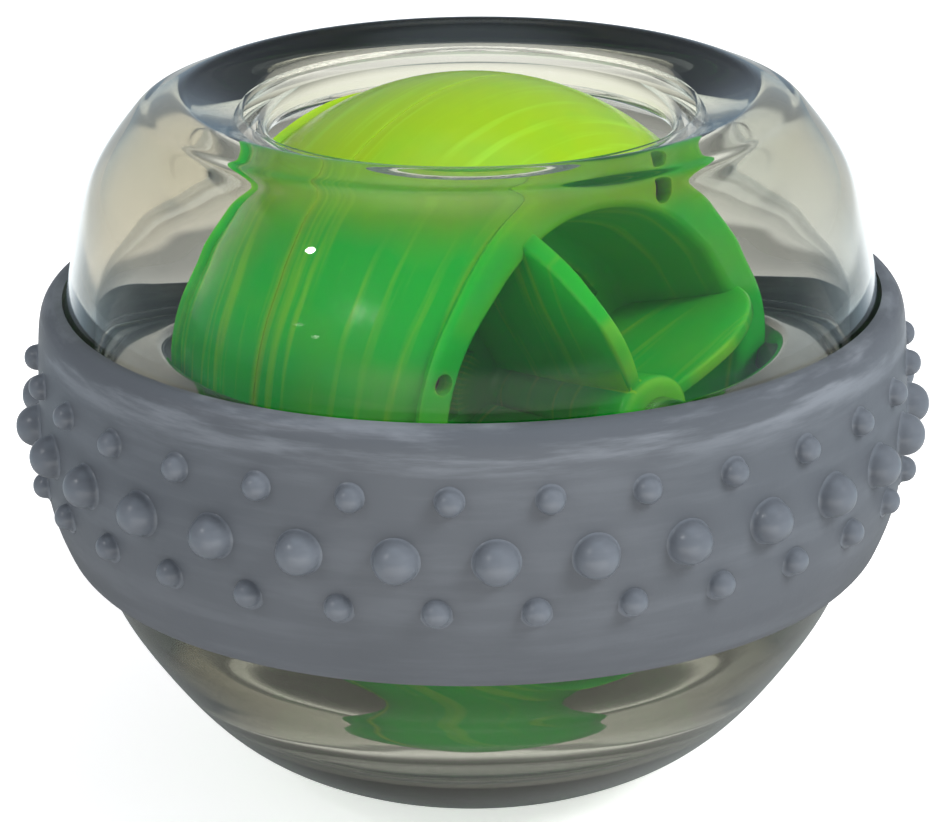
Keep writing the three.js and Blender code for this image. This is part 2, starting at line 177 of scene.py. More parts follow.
TOP_ROW_HEIGHT = 36.9
LOW_ROW_HEIGHT = 27.9
BIG_NUB_RADIUS = 1.75
BIG_NUB_RISE = 1.94
BIG_NUB_FLARE = 0.35
SMALL_NUB_RADIUS = 1.08
SMALL_NUB_RISE = 1.2
SMALL_NUB_FLARE = 0.3
NUB_SINK = 0.5
NUB_FLARE_SINK_SHARE = 0.3
NUB_FLARE_RISE_SHARE = 1.1
NUB_FULLNESS = 0.9

# Half the gap between the two covers, and how far their skin lies inside the CAD's.
SEAM = 0.05
SKIN_SINK = 0.002

# Where the first nub of each row stands, in degrees from the front.
BIG_ROW_TURN = 2.6
TOP_ROW_TURN = 9.1
LOW_ROW_TURN = 7.4

RIM_RADIUS = math.sqrt(ROTOR_RADIUS**2 - RIM_HEIGHT**2)
RECESS_RADIUS = RIM_RADIUS - RIM_WIDTH
FLOOR_RADIUS = RECESS_RADIUS - RECESS_TAPER
PIN_CIRCLE_RADIUS = RIM_RADIUS - RIM_WIDTH / 2
CREST_HEIGHT = PARTING_HEIGHT + SHELL_RISE
FLOOR_UNDERSIDE = FLOOR_HEIGHT - COVER_WALL

# The outside of each half of the casing, from the parting plane to the crest or the foot.
UPPER_OUTLINE = [
    (1, 0),
    (0.996, 0.164),
    (0.964, 0.447),
    (0.91, 0.714),
    (0.811, 0.92),
    (0.759, 0.968),
]
LOWER_OUTLINE = [
    (1, 0),
    (0.994, 0.24),
    (0.942, 0.42),
    (0.866, 0.588),
    (0.703, 0.802),
    (0.541, 0.921),
]

# The top dips from the crest to the lip of the mouth: shares of the way in and of the drop.
FUNNEL = [(0, 0), (0.25, 0.163), (0.583, 0.512), (1, 1)]

# The inside of the upper half, from its shelf to the mouth: shares of the way out and up.
DOME = [
    (1, 0),
    (0.978, 0.152),
    (0.92, 0.345),
    (0.797, 0.55),
    (0.616, 0.713),
    (0.399, 0.842),
    (0.196, 0.936),
    (0, 1),
]

# The corner of the cup inside the lower half: shares of its radius and of its depth.
CUP_CORNER = [
    (1, 0.6),
    (0.96, 0.4),
    (0.95, 0.33),
    (0.94, 0.26),
    (0.92, 0.19),
    (0.88, 0.13),
    (0.8, 0.07),
    (0.68, 0.025),
    (0.5, 0),
]

# The outside of the grip band: shares of its height and of its swell.
BAND_BELOW = [(0, 0), (0.04, 0.24), (0.175, 0.68), (0.34, 0.93)]
BAND_ABOVE = [(0.725, 0.93), (0.91, 0.78), (0.975, 0.5), (1, 0)]
BAND_WIDEST = 0.52

# The rotor is drawn about its axle, then stood in the casing. The ring is drawn with its notches on X.
ROTOR_PLACE = (
    Matrix.Translation((0, 0, PARTING_HEIGHT * MM))
    @ Matrix.Rotation(AXLE_TURN, 4, "Z")
    @ Matrix.Rotation(QUARTER_TURN, 4, "X")
)
RING_PLACE = Matrix.Translation((0, 0, PARTING_HEIGHT * MM)) @ Matrix.Rotation(-AXLE_TURN, 4, "Z")
BACK_PLACE = (
    ROTOR_PLACE
    @ Matrix.Rotation(2 * PIN_AZIMUTH, 4, "Z")
    @ Matrix.Rotation(math.pi, 4, "X")
)


def mix(a, b, share):
    return a + (b - a) * share


# Profiles, as lists of radius and height.


def smooth_curve(points, steps):
    """A smooth curve through all the points, with so many steps from each to the next."""
    spans = len(points) - 1
    made = []
    for i in range(spans * steps + 1):
        place = min(i / steps, spans)
        span = min(int(place), spans - 1)
        t = place - span
        p = [Vector(points[max(0, min(spans, span + k))]) for k in (-1, 0, 1, 2)]
        lead, trail = (p[2] - p[0]) / 2, (p[3] - p[1]) / 2
        cubic = (2 * p[1] - 2 * p[2] + lead + trail) * t**3
        square = (3 * p[2] - 3 * p[1] - 2 * lead - trail) * t**2
        made.append(cubic + square + lead * t + p[1])
    return made


def rounded(corners):
    """A closed outline whose corners (radius, height, fillet) are rounded."""
    made = []
    count = len(corners)
    for i, (x, y, fillet) in enumerate(corners):
        here = Vector((x, y))
        if fillet <= 0:
            made.append(here)
            continue
        back = (Vector(corners[i - 1][:2]) - here).normalized()
        ahead = (Vector(corners[(i + 1) % count][:2]) - here).normalized()
        half = back.angle(ahead) / 2
        reach = fillet / math.tan(half)
        centre = here + (back + ahead).normalized() * (fillet / math.sin(half))
        first, last = here + back * reach - centre, here + ahead * reach - centre
        for step in range(FILLET_STEPS + 1):
            share = step / FILLET_STEPS
            made.append(centre + first.slerp(last, share))
    return made


def plain(points):
    return [(x, y, 0) for x, y in points]


upper_curve = smooth_curve(
    [(a * SHELL_RADIUS, PARTING_HEIGHT + u * SHELL_RISE) for a, u in UPPER_OUTLINE]
    + [(mix(CREST_RADIUS, LIP_RADIUS, a), CREST_HEIGHT - d * FUNNEL_DROP) for a, d in FUNNEL],
    CURVE_STEPS,
)
lower_curve = smooth_curve(
    [(a * SHELL_RADIUS, PARTING_HEIGHT * (1 - d)) for a, d in LOWER_OUTLINE] + [(FOOT_RADIUS, 0)],
    CURVE_STEPS,
)


def shell_radius_at(height):
    curve = upper_curve if height > PARTING_HEIGHT else lower_curve
    for a, b in zip(curve, curve[1:]):
        if (a.y - height) * (b.y - height) <= 0 and a.y != b.y:
            return mix(a.x, b.x, (height - a.y) / (b.y - a.y))
    return SHELL_RADIUS


# Meshes.


def finish_mesh(build, name, place=None):
    """Turns a bmesh into a smooth-shaded object with sharp edges kept."""
    bmesh.ops.remove_doubles(build, verts=build.verts, dist=DOUBLE)
    bmesh.ops.recalc_face_normals(build, faces=build.faces)
    if place is not None:
        build.transform(place)
    data = bpy.data.meshes.new(name)
    build.to_mesh(data)
    build.free()
    data.shade_smooth()
    data.set_sharp_from_angle(angle=SHARP_ANGLE)
    made = bpy.data.objects.new(name, data)
    bpy.context.scene.collection.objects.link(made)
    return made


def lathe(profile, steps):
    """A closed body turned about Z from a closed profile, as a bmesh."""
    build = bmesh.new()
    rings = []
    for radius, height in profile:
        if radius < ON_AXIS:
            rings.append([build.verts.new((0, 0, height * MM))])
            continue
        ring = []
        for i in range(steps):
            turn = FULL_TURN * i / steps
            spot = Vector((radius * math.cos(turn), radius * math.sin(turn), height))
            ring.append(build.verts.new(spot * MM))
        rings.append(ring)
    for low, high in zip(rings, rings[1:] + rings[:1]):
        if len(low) == 1 and len(high) == 1:
            continue
        for i in range(steps):
            j = (i + 1) % steps
            corners = [low[i % len(low)], low[j % len(low)], high[j % len(high)], high[i % len(high)]]
            build.faces.new(list(dict.fromkeys(corners)))
    return build


def slab(outline, thickness, soften):
    """A flat outline of radius and height, given a thickness across Y, with soft edges."""
    build = bmesh.new()
    side = [build.verts.new((x * MM, -thickness / 2 * MM, y * MM)) for x, y in outline]
    face = build.faces.new(side)
    pushed = bmesh.ops.extrude_face_region(build, geom=[face])
    moved = [v for v in pushed["geom"] if isinstance(v, bmesh.types.BMVert)]
    bmesh.ops.translate(build, verts=moved, vec=(0, thickness * MM, 0))
    bmesh.ops.recalc_face_normals(build, faces=build.faces)
    edges = [e for e in build.edges if len(e.link_faces) == 2 and e.calc_face_angle() > SQUARE_ENOUGH]
    bmesh.ops.bevel(build, geom=edges, offset=soften * MM, segments=3, affect="EDGES", profile=0.5)
    return build


def combine(target, cutters, way):
    """Joins or cuts the target by each cutter in turn, then drops the cutters."""
    for cutter in cutters:
        step = target.modifiers.new(way.title(), "BOOLEAN")
        step.operation = way
        step.solver = "EXACT"
        step.object = cutter
    graph = bpy.context.evaluated_depsgraph_get()
    made = bpy.data.meshes.new_from_object(target.evaluated_get(graph))
    target.modifiers.clear()
    target.data = made
    for cutter in cutters:
        bpy.data.objects.remove(cutter)
    build = bmesh.new()
    build.from_mesh(made)
    bmesh.ops.remove_doubles(build, verts=build.verts, dist=CUT_DOUBLE)
    bmesh.ops.dissolve_degenerate(build, edges=build.edges, dist=CUT_SLIVER)
    build.to_mesh(made)
    build.free()
    made.shade_smooth()
    made.set_sharp_from_angle(angle=SHARP_ANGLE)


# Node helpers.


def add(tree, kind, **settings):
    node = tree.nodes.new(kind)
    for key, value in settings.items():
        setattr(node, key, value)
    return node


def feed(tree, socket, value):
    """Links a socket to a source, or sets its plain value."""
    if isinstance(value, bpy.types.NodeSocket):
        tree.links.new(value, socket)
    else:
        socket.default_value = value


def maths(tree, operation, *values, clamp=False):
    node = add(tree, "ShaderNodeMath", operation=operation, use_clamp=clamp)
    for socket, value in zip(node.inputs, values):
        feed(tree, socket, value)
    return node.outputs[0]


def blend_colours(tree, share, a, b):
    node = add(tree, "ShaderNodeMix", data_type="RGBA")
    feed(tree, node.inputs[0], share)
    feed(tree, node.inputs[6], a)
    feed(tree, node.inputs[7], b)
    return node.outputs[2]


def noise_texture(tree, vector, scale, detail, roughness):
    node = add(tree, "ShaderNodeTexNoise")
    feed(tree, node.inputs["Vector"], vector)
    feed(tree, node.inputs["Scale"], scale)
    feed(tree, node.inputs["Detail"], detail)
    feed(tree, node.inputs["Roughness"], roughness)
    return node.outputs["Fac"]


def ramp(tree, value, low, high):
    """Zero below low, one above high, smooth between."""
    node = add(tree, "ShaderNodeMapRange", interpolation_type="SMOOTHSTEP")
    feed(tree, node.inputs["Value"], value)
    feed(tree, node.inputs["From Min"], low)
    feed(tree, node.inputs["From Max"], high)
    return node.outputs["Result"]


def new_material(name):
    made = bpy.data.materials.new(name)
    made.use_nodes = True
    tree = made.node_tree
    shader = tree.nodes["Principled BSDF"]
    place = add(tree, "ShaderNodeTexCoord").outputs["Object"]
    return made, tree, shader, place


def bump(tree, height, depth):
    node = add(tree, "ShaderNodeBump")
    feed(tree, node.inputs["Height"], height)
    node.inputs["Distance"].default_value = depth * MM
    return node.outputs["Normal"]


def colour(red, green, blue):
    return (red, green, blue, 1)


# Materials. Waves are counted in each metre, and depths are in millimetres.

UPPER_INDEX = 1.27
UPPER_SMOKE = colour(0.5, 0.5, 0.34)
UPPER_SMOKE_DENSITY = 60
LOWER_INDEX = 1.58
LOWER_SMOKE = colour(0.5, 0.5, 0.42)
LOWER_SMOKE_DENSITY = 280
SHADOW_TINT = colour(0.8, 0.8, 0.77)
MOULDING_WAVES = 70
MOULDING_WAVE_DEPTH = 0.12
GLAZE_TINT = colour(0.75, 0.85, 0.92)
GLAZE_START = 0.6
GLAZE_STRENGTH = 0.6

BAND_DARK = colour(0.065, 0.073, 0.084)
BAND_LIGHT = colour(0.088, 0.098, 0.112)
# The nubs' colours are the band's rubber painted lighter, as painted light that the nubs catch.
LIT_NUB_DARK = colour(0.085, 0.096, 0.112)
LIT_NUB_LIGHT = colour(0.115, 0.13, 0.15)
SCUFF_GREY = colour(0.19, 0.21, 0.235)
RUBBER_GRAIN = 900
RUBBER_GRAIN_DEPTH = 0.02
RUBBER_PATCHES = 45
SCUFF_WAVES = 60
SCUFF_STRETCH = 9
SCUFF_LOW, SCUFF_HIGH = 0.42, 0.68
PALE_TOP_FROM, PALE_TOP_TO = 37.5, 41.5
SCUFFS_EVERYWHERE = 0.12
STREAKS_AT_TOP = 0.6

# The lime towards the crown is painted light from above, and the edge lime is a painted highlight on
# convex edges.
DEEP_GREEN = colour(0.012, 0.46, 0.045)
LIT_LIME = colour(0.25, 0.42, 0.004)
STREAK_LIME = colour(0.3, 0.6, 0.03)
EDGE_HIGHLIGHT_LIME = colour(0.3, 0.58, 0.02)
LIT_LIME_FROM, LIT_LIME_TO = 15, 20
SWIRL_WAVES = 55
SWIRL_REACH = 1.4
STREAKS_ACROSS = 900
STREAKS_ALONG = 40
STREAK_LOW, STREAK_HIGH = 0.52, 0.72
STREAK_STRENGTH = 0.45
STREAK_DEPTH = 0.05
# A painted highlight: how far convex edges turn a paler lime.
HIGHLIGHT_LOW, HIGHLIGHT_HIGH = 0.52, 0.62
HIGHLIGHT_STRENGTH = 0.7
GREEN_GLOW = (0.6, 1, 0.15)
GREEN_GLOW_DEPTH = 4

METAL_GRAIN_DEPTH = 0.02
METAL_SHADE_SHARE = 0.8
METAL_ROUGH_SHARES = (0.7, 1.3)
SMOKY_DARK = colour(0.05, 0.055, 0.06)
SMOKY_LIGHT = colour(0.09, 0.095, 0.1)
SMOKY_GRAIN = 200


def mottle_group():
    """Cloudy noise, and a roughness that follows it."""
    group = bpy.data.node_groups.new("mottle", "ShaderNodeTree")
    face = group.interface
    face.new_socket("Place", in_out="INPUT", socket_type="NodeSocketVector")
    for name in ("Waves", "Detail", "Raggedness", "Least Roughness", "Most Roughness"):
        face.new_socket(name, in_out="INPUT", socket_type="NodeSocketFloat")
    for name in ("Clouds", "Roughness"):
        face.new_socket(name, in_out="OUTPUT", socket_type="NodeSocketFloat")
    given = add(group, "NodeGroupInput").outputs
    clouds = noise_texture(group, given["Place"], given["Waves"], given["Detail"], given["Raggedness"])
    rough = add(group, "ShaderNodeMapRange")
    feed(group, rough.inputs["Value"], clouds)
    feed(group, rough.inputs["To Min"], given["Least Roughness"])
    feed(group, rough.inputs["To Max"], given["Most Roughness"])
    out = add(group, "NodeGroupOutput")
    feed(group, out.inputs["Clouds"], clouds)
    feed(group, out.inputs["Roughness"], rough.outputs["Result"])
    return group


mottle_nodes = mottle_group()


def mottle(tree, place, waves, detail=3, raggedness=0.5, roughness=(0, 1)):
    node = add(tree, "ShaderNodeGroup", node_tree=mottle_nodes)
    feed(tree, node.inputs["Place"], place)
    feed(tree, node.inputs["Waves"], waves)
    feed(tree, node.inputs["Detail"], detail)
    feed(tree, node.inputs["Raggedness"], raggedness)
    feed(tree, node.inputs["Least Roughness"], roughness[0])
    feed(tree, node.inputs["Most Roughness"], roughness[1])
    return node.outputs["Clouds"], node.outputs["Roughness"]


def clear_plastic(name, index, smoke_colour, smoke_density):
    """Clear moulded plastic, smoky in its depth, which mirrors more where it turns away."""
    made, tree, shader, place = new_material(name)
    waves, _ = mottle(tree, place, MOULDING_WAVES, detail=1)
    shader.inputs["Base Color"].default_value = colour(1, 1, 1)
    shader.inputs["Roughness"].default_value = 0.02
    shader.inputs["IOR"].default_value = index
    shader.inputs["Transmission Weight"].default_value = 1
    shader.inputs["Coat Weight"].default_value = 0.6
    shader.inputs["Coat IOR"].default_value = 1.5
    feed(tree, shader.inputs["Normal"], bump(tree, waves, MOULDING_WAVE_DEPTH))
    smoke = add(tree, "ShaderNodeVolumeAbsorption")
    smoke.inputs["Color"].default_value = smoke_colour
    smoke.inputs["Density"].default_value = smoke_density
    gloss = add(tree, "ShaderNodeBsdfGlossy")
    gloss.inputs["Color"].default_value = GLAZE_TINT
    gloss.inputs["Roughness"].default_value = 0.15
    edge = add(tree, "ShaderNodeLayerWeight").outputs["Facing"]
    glaze = add(tree, "ShaderNodeMixShader")
    feed(tree, glaze.inputs[0], maths(tree, "MULTIPLY", ramp(tree, edge, GLAZE_START, 1), GLAZE_STRENGTH))
    feed(tree, glaze.inputs[1], shader.outputs[0])
    feed(tree, glaze.inputs[2], gloss.outputs[0])
    shadow = add(tree, "ShaderNodeBsdfTransparent")
    shadow.inputs["Color"].default_value = SHADOW_TINT
    surface = add(tree, "ShaderNodeMixShader")
    feed(tree, surface.inputs[0], add(tree, "ShaderNodeLightPath").outputs["Is Shadow Ray"])
    feed(tree, surface.inputs[1], glaze.outputs[0])
    feed(tree, surface.inputs[2], shadow.outputs[0])
    out = tree.nodes["Material Output"]
    feed(tree, out.inputs["Surface"], surface.outputs[0])
    feed(tree, out.inputs["Volume"], smoke.outputs[0])
    return made


def grip_rubber(name, dark, light, roughness):
    """Patchy grey rubber with fine grain and pale streaks, stronger towards its top edge."""
    made, tree, shader, place = new_material(name)
    grain, _ = mottle(tree, place, RUBBER_GRAIN, detail=4)
    patches, rough = mottle(tree, place, RUBBER_PATCHES, 4, 0.6, roughness)
    stretched = add(tree, "ShaderNodeMapping", vector_type="POINT")
    stretched.inputs["Scale"].default_value = (1, 1, SCUFF_STRETCH)
    feed(tree, stretched.inputs["Vector"], place)
    marks, _ = mottle(tree, stretched.outputs[0], SCUFF_WAVES, detail=5, raggedness=0.65)
    scuffs = ramp(tree, marks, SCUFF_LOW, SCUFF_HIGH)
    split = add(tree, "ShaderNodeSeparateXYZ")
    feed(tree, split.inputs[0], place)
    # The band grows paler towards its top edge.
    top = ramp(tree, split.outputs[2], PALE_TOP_FROM * MM, PALE_TOP_TO * MM)
    paleness = maths(tree, "ADD", SCUFFS_EVERYWHERE, maths(tree, "MULTIPLY", top, STREAKS_AT_TOP))
    base = blend_colours(tree, patches, dark, light)
    base = blend_colours(tree, maths(tree, "MULTIPLY", scuffs, paleness), base, SCUFF_GREY)
    feed(tree, shader.inputs["Base Color"], base)
    feed(tree, shader.inputs["Roughness"], rough)
    feed(tree, shader.inputs["Normal"], bump(tree, grain, RUBBER_GRAIN_DEPTH))
    return made


def green_plastic():
    """Green plastic: lime painted towards the crown as light from above, its border broken by a swirl of
    noise; lime streaks that run round the axle; and a painted lime highlight on convex edges.
    """
    made, tree, shader, place = new_material("green_plastic")
    centred = add(tree, "ShaderNodeMapping", vector_type="POINT")
    centred.inputs["Location"].default_value = (0, 0, -PARTING_HEIGHT * MM)
    feed(tree, centred.inputs["Vector"], place)
    turned = add(tree, "ShaderNodeMapping", vector_type="POINT")
    turned.inputs["Rotation"].default_value = (0, 0, AXLE_TURN)
    feed(tree, turned.inputs["Vector"], centred.outputs[0])
    split = add(tree, "ShaderNodeSeparateXYZ")
    feed(tree, split.inputs[0], turned.outputs[0])
    axial, lateral, height = split.outputs
    streak_place = add(tree, "ShaderNodeCombineXYZ")
    feed(tree, streak_place.inputs[0], maths(tree, "MULTIPLY", axial, STREAKS_ACROSS))
    feed(tree, streak_place.inputs[1], maths(tree, "MULTIPLY", lateral, STREAKS_ALONG))
    feed(tree, streak_place.inputs[2], maths(tree, "MULTIPLY", height, STREAKS_ALONG))
    streaks, _ = mottle(tree, streak_place.outputs[0], 1)
    swirl, _ = mottle(tree, place, SWIRL_WAVES, raggedness=0.6)
    # Painted light: the rotor's top turns lime, as if lit from above.
    up = ramp(tree, height, LIT_LIME_FROM * MM, LIT_LIME_TO * MM)
    swirled = maths(tree, "MULTIPLY", maths(tree, "SUBTRACT", swirl, 0.5), SWIRL_REACH)
    base = blend_colours(tree, maths(tree, "ADD", up, swirled, clamp=True), DEEP_GREEN, LIT_LIME)
    streaked = maths(tree, "MULTIPLY", ramp(tree, streaks, STREAK_LOW, STREAK_HIGH), STREAK_STRENGTH)
    base = blend_colours(tree, streaked, base, STREAK_LIME)
    # Painted highlight: convex edges turn a paler lime.
    edge_highlight = ramp(tree, add(tree, "ShaderNodeNewGeometry").outputs["Pointiness"], HIGHLIGHT_LOW, HIGHLIGHT_HIGH)
    base = blend_colours(tree, maths(tree, "MULTIPLY", edge_highlight, HIGHLIGHT_STRENGTH), base, EDGE_HIGHLIGHT_LIME)
    feed(tree, shader.inputs["Base Color"], base)
    shader.inputs["Roughness"].default_value = 0.22
    shader.inputs["Specular IOR Level"].default_value = 0.35
    shader.inputs["Subsurface Weight"].default_value = 0.5
    shader.inputs["Subsurface Radius"].default_value = GREEN_GLOW
    shader.inputs["Subsurface Scale"].default_value = GREEN_GLOW_DEPTH * MM
    feed(tree, shader.inputs["Normal"], bump(tree, streaks, STREAK_DEPTH))
    return made


def metal(name, base, roughness, grain_waves):
    made, tree, shader, place = new_material(name)
    least, most = [roughness * share for share in METAL_ROUGH_SHARES]
    grain, rough = mottle(tree, place, grain_waves, roughness=(least, most))
    shade = blend_colours(tree, grain, colour(*[METAL_SHADE_SHARE * c for c in base]), colour(*base))
    feed(tree, shader.inputs["Base Color"], shade)
    shader.inputs["Metallic"].default_value = 1
    feed(tree, shader.inputs["Roughness"], rough)
    feed(tree, shader.inputs["Normal"], bump(tree, grain, METAL_GRAIN_DEPTH))
    return made


def smoky_plastic():
    made, tree, shader, place = new_material("ring_plastic")
    grain, _ = mottle(tree, place, SMOKY_GRAIN)
    feed(tree, shader.inputs["Base Color"], blend_colours(tree, grain, SMOKY_DARK, SMOKY_LIGHT))
    shader.inputs["Roughness"].default_value = 0.4
    return made


def finish_piece(piece, material, body, slot, *nodes):
    piece.data.materials.clear()
    piece.data.materials.append(material)
    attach(piece, body)
    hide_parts(*nodes)


# The casing.

upper_clear = clear_plastic("clear_plastic_upper", UPPER_INDEX, UPPER_SMOKE, UPPER_SMOKE_DENSITY)
lower_clear = clear_plastic("clear_plastic_lower", LOWER_INDEX, LOWER_SMOKE, LOWER_SMOKE_DENSITY)


def upper_shell():
    shelf_top = PARTING_HEIGHT + SHELF_HEIGHT
    lip = CREST_HEIGHT - FUNNEL_DROP
    throat = lip - LIP_DROP
    ledge = throat - LEDGE_DROP
    side = shell_radius_at(shelf_top) - WALL
    inner = smooth_curve(
        [(mix(MOUTH_RADIUS, side, a), mix(shelf_top, ledge - MOUTH_EDGE, u)) for a, u in DOME],
        CURVE_STEPS,
    )
    inner = inner[INSIDE_TRIM:-INSIDE_TRIM]
    base = PARTING_HEIGHT + PARTING_GAP
    race_top = PARTING_HEIGHT + RACE_HALF_HEIGHT
    spigot_room = SPIGOT_RADIUS - SEAT_CLEARANCE
    spigot_room_outside = SPIGOT_RADIUS + SPIGOT_WIDTH + SEAT_CLEARANCE
    spigot_room_top = PARTING_HEIGHT + SPIGOT_HEIGHT + SEAT_CLEARANCE
    outer = upper_curve[:-1]
    outer[0] = Vector((SHELL_RADIUS, base))
    corners = (
        plain(outer)
        + [
            (LIP_RADIUS, lip, LIP_FILLET),
            (THROAT_RADIUS, throat, THROAT_FILLET),
            (MOUTH_RADIUS, ledge, LEDGE_FILLET),
            (MOUTH_RADIUS, ledge - MOUTH_EDGE, MOUTH_FILLET),
        ]
        + plain(reversed(inner))
        + [
            (side, shelf_top, WALL_FOOT_FILLET),
            (SHELF_RADIUS, shelf_top, SHELF_FILLET),
            (SHELF_RADIUS, race_top, RACE_FILLET),
            (RACE_RADIUS, race_top, 0),
            (RACE_RADIUS, base, 0),
            (spigot_room, base, 0),
            (spigot_room, spigot_room_top, 0),
            (spigot_room_outside, spigot_room_top, 0),
            (spigot_room_outside, base, 0),
        ]
    )
    return finish_mesh(lathe(rounded(corners), SHELL_STEPS), "casing_upper")


def lower_shell():
    race_bottom = PARTING_HEIGHT - RACE_HALF_HEIGHT
    base = PARTING_HEIGHT - PARTING_GAP
    depth = PARTING_HEIGHT - CUP_FLOOR
    corner = smooth_curve(
        [(a * SHELF_RADIUS, CUP_FLOOR + u * depth) for a, u in CUP_CORNER], CURVE_STEPS
    )
    outer = list(lower_curve)
    outer[0] = Vector((SHELL_RADIUS, base))
    corners = (
        [(0, 0, 0)]
        + plain(reversed(outer))
        + [
            (SPIGOT_RADIUS + SPIGOT_WIDTH, base, 0),
            (SPIGOT_RADIUS + SPIGOT_WIDTH, PARTING_HEIGHT + SPIGOT_HEIGHT, 0),
            (SPIGOT_RADIUS, PARTING_HEIGHT + SPIGOT_HEIGHT, 0),
            (SPIGOT_RADIUS, base, 0),
            (RACE_RADIUS, base, 0),
            (RACE_RADIUS, race_bottom, 0),
            (SHELF_RADIUS, race_bottom, RACE_FILLET),
        ]
        + plain(corner)
        + [(0, CUP_FLOOR, 0)]
    )
    return finish_mesh(lathe(rounded(corners), SHELL_STEPS), "casing_lower")


finish_piece(upper_shell(), upper_clear, "casing", "clear_plastic", "upper_shell")
finish_piece(lower_shell(), lower_clear, "casing", "clear_plastic", "lower_shell")


# The grip.

rubber = grip_rubber("grip_rubber", BAND_DARK, BAND_LIGHT, (0.42, 0.58))
# The nubs get a lighter copy of the band's rubber: painted light.
lit_nub_rubber = grip_rubber("lit_nub_rubber", LIT_NUB_DARK, LIT_NUB_LIGHT, (0.24, 0.36))


def band_outline():
    height = BAND_TOP - BAND_BOTTOM

    def side(shares, edge_height, thickness):
        edge = shell_radius_at(edge_height) + BAND_CLEARANCE + thickness
        return [(mix(edge, BAND_RADIUS, s), BAND_BOTTOM + u * height) for u, s in shares]

    return smooth_curve(
        side(BAND_BELOW, BAND_BOTTOM, BAND_FOOT)
        + [(BAND_RADIUS, BAND_BOTTOM + BAND_WIDEST * height)]
        + side(BAND_ABOVE, BAND_TOP, BAND_LIP),
        BAND_CURVE_STEPS,
    )


band_curve = band_outline()


def band_radius_at(height):
    for a, b in zip(band_curve, band_curve[1:]):
        if a.y <= height <= b.y:
            return mix(a.x, b.x, (height - a.y) / (b.y - a.y))
    return BAND_RADIUS


def grip():
    bore = []
    for i in range(BAND_BORE_STEPS + 1):
        height = mix(BAND_TOP, BAND_BOTTOM, i / BAND_BORE_STEPS)
        bore.append(Vector((shell_radius_at(height) + BAND_CLEARANCE, height)))
    return finish_mesh(lathe(band_curve + bore, SHELL_STEPS), "grip")


def nub_seed(name, radius, rise, flare):
    """One nub about Z: a dome whose foot flares into the band."""
    foot = -flare * NUB_FLARE_SINK_SHARE
    profile = [(0, -NUB_SINK), (radius + flare, -NUB_SINK), (radius + flare, foot)]
    for i in range(1, NUB_FLARE_STEPS):
        turn = QUARTER_TURN * i / NUB_FLARE_STEPS
        climb = flare * NUB_FLARE_RISE_SHARE * (1 - math.cos(turn))
        profile.append((radius + flare * (1 - math.sin(turn)), foot + climb))
    base = profile[-1][1]
    for i in range(1, NUB_DOME_STEPS):
        turn = QUARTER_TURN * i / NUB_DOME_STEPS
        width = radius * math.cos(turn) ** NUB_FULLNESS
        profile.append((width, base + (rise - base) * math.sin(turn)))
    profile.append((0, rise))
    return finish_mesh(lathe(profile, NUB_STEPS), name)


def ring_group():
    """Copies of a seed object set round a circle about Z, leaning outwards by an angle."""
    group = bpy.data.node_groups.new("ring_of_copies", "GeometryNodeTree")
    face = group.interface
    face.new_socket("Geometry", in_out="OUTPUT", socket_type="NodeSocketGeometry")
    face.new_socket("Seed", in_out="INPUT", socket_type="NodeSocketObject")
    face.new_socket("Count", in_out="INPUT", socket_type="NodeSocketInt")
    for name in ("Reach", "Height", "Start", "Lean"):
        face.new_socket(name, in_out="INPUT", socket_type="NodeSocketFloat")
    face.new_socket("Material", in_out="INPUT", socket_type="NodeSocketMaterial")
    given = add(group, "NodeGroupInput").outputs
    points = add(group, "GeometryNodePoints")
    feed(group, points.inputs["Count"], given["Count"])
    index = add(group, "GeometryNodeInputIndex").outputs[0]
    step = maths(group, "DIVIDE", FULL_TURN, given["Count"])
    turn = maths(group, "ADD", maths(group, "MULTIPLY", index, step), given["Start"])
    spot = add(group, "ShaderNodeCombineXYZ")
    feed(group, spot.inputs[0], maths(group, "MULTIPLY", maths(group, "COSINE", turn), given["Reach"]))
    feed(group, spot.inputs[1], maths(group, "MULTIPLY", maths(group, "SINE", turn), given["Reach"]))
    feed(group, spot.inputs[2], given["Height"])
    feed(group, points.inputs["Position"], spot.outputs[0])
    aim = add(group, "ShaderNodeCombineXYZ")
    feed(group, aim.inputs[1], given["Lean"])
    feed(group, aim.inputs[2], turn)
    seed = add(group, "GeometryNodeObjectInfo", transform_space="ORIGINAL")
    feed(group, seed.inputs["Object"], given["Seed"])
    copies = add(group, "GeometryNodeInstanceOnPoints")
    feed(group, copies.inputs["Points"], points.outputs[0])
    feed(group, copies.inputs["Instance"], seed.outputs["Geometry"])
    feed(group, copies.inputs["Rotation"], aim.outputs[0])
    real = add(group, "GeometryNodeRealizeInstances")
    feed(group, real.inputs[0], copies.outputs[0])
    look = add(group, "GeometryNodeSetMaterial")
    feed(group, look.inputs["Geometry"], real.outputs[0])
    feed(group, look.inputs["Material"], given["Material"])
    out = add(group, "NodeGroupOutput")
    feed(group, out.inputs[0], look.outputs[0])
    return group


